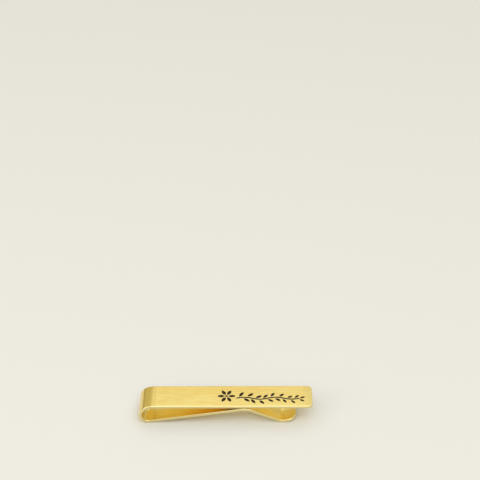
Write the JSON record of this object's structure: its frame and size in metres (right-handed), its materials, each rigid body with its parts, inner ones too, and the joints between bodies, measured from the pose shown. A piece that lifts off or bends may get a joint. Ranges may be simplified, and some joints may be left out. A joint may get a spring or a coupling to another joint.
{
  "type": "tie clip",
  "caption": "Slide tie clip: a gold-plated brass strip bent into a flat front bar, a round fold and a springing back leg, with a black enamel flower sprig in its face.",
  "frame": {"origin": "below the middle of the front bar, on the plane that the fold's lowest line and the leg's turned tip stand on", "axes": "+X along the bar from the fold to the free end, +Y across the strip, +Z out of the front face"},
  "size_m": [0.056, 0.0094, 0.0074],
  "materials": {
    "gold_plate": "gold plated, brushed along the strip, with polished edges",
    "black_enamel": "black enamel filled into the engraving, satin gloss"
  },
  "bodies": {
    "leg": {"spring_leg": "gold_plate"},
    "bar": {"front_bar": "gold_plate", "enamel_flower": "black_enamel", "enamel_stem": "black_enamel", "enamel_leaves": "black_enamel"}
  },
  "joints": [
    {"name": "fold_flex", "type": "hinge", "parent": "leg", "child": "bar", "pos_m": [-0.025, 0, 0], "axis": [0, -1, 0], "range_deg": [0, 7], "stiffness_Nm_per_rad": 3.3}
  ]
}
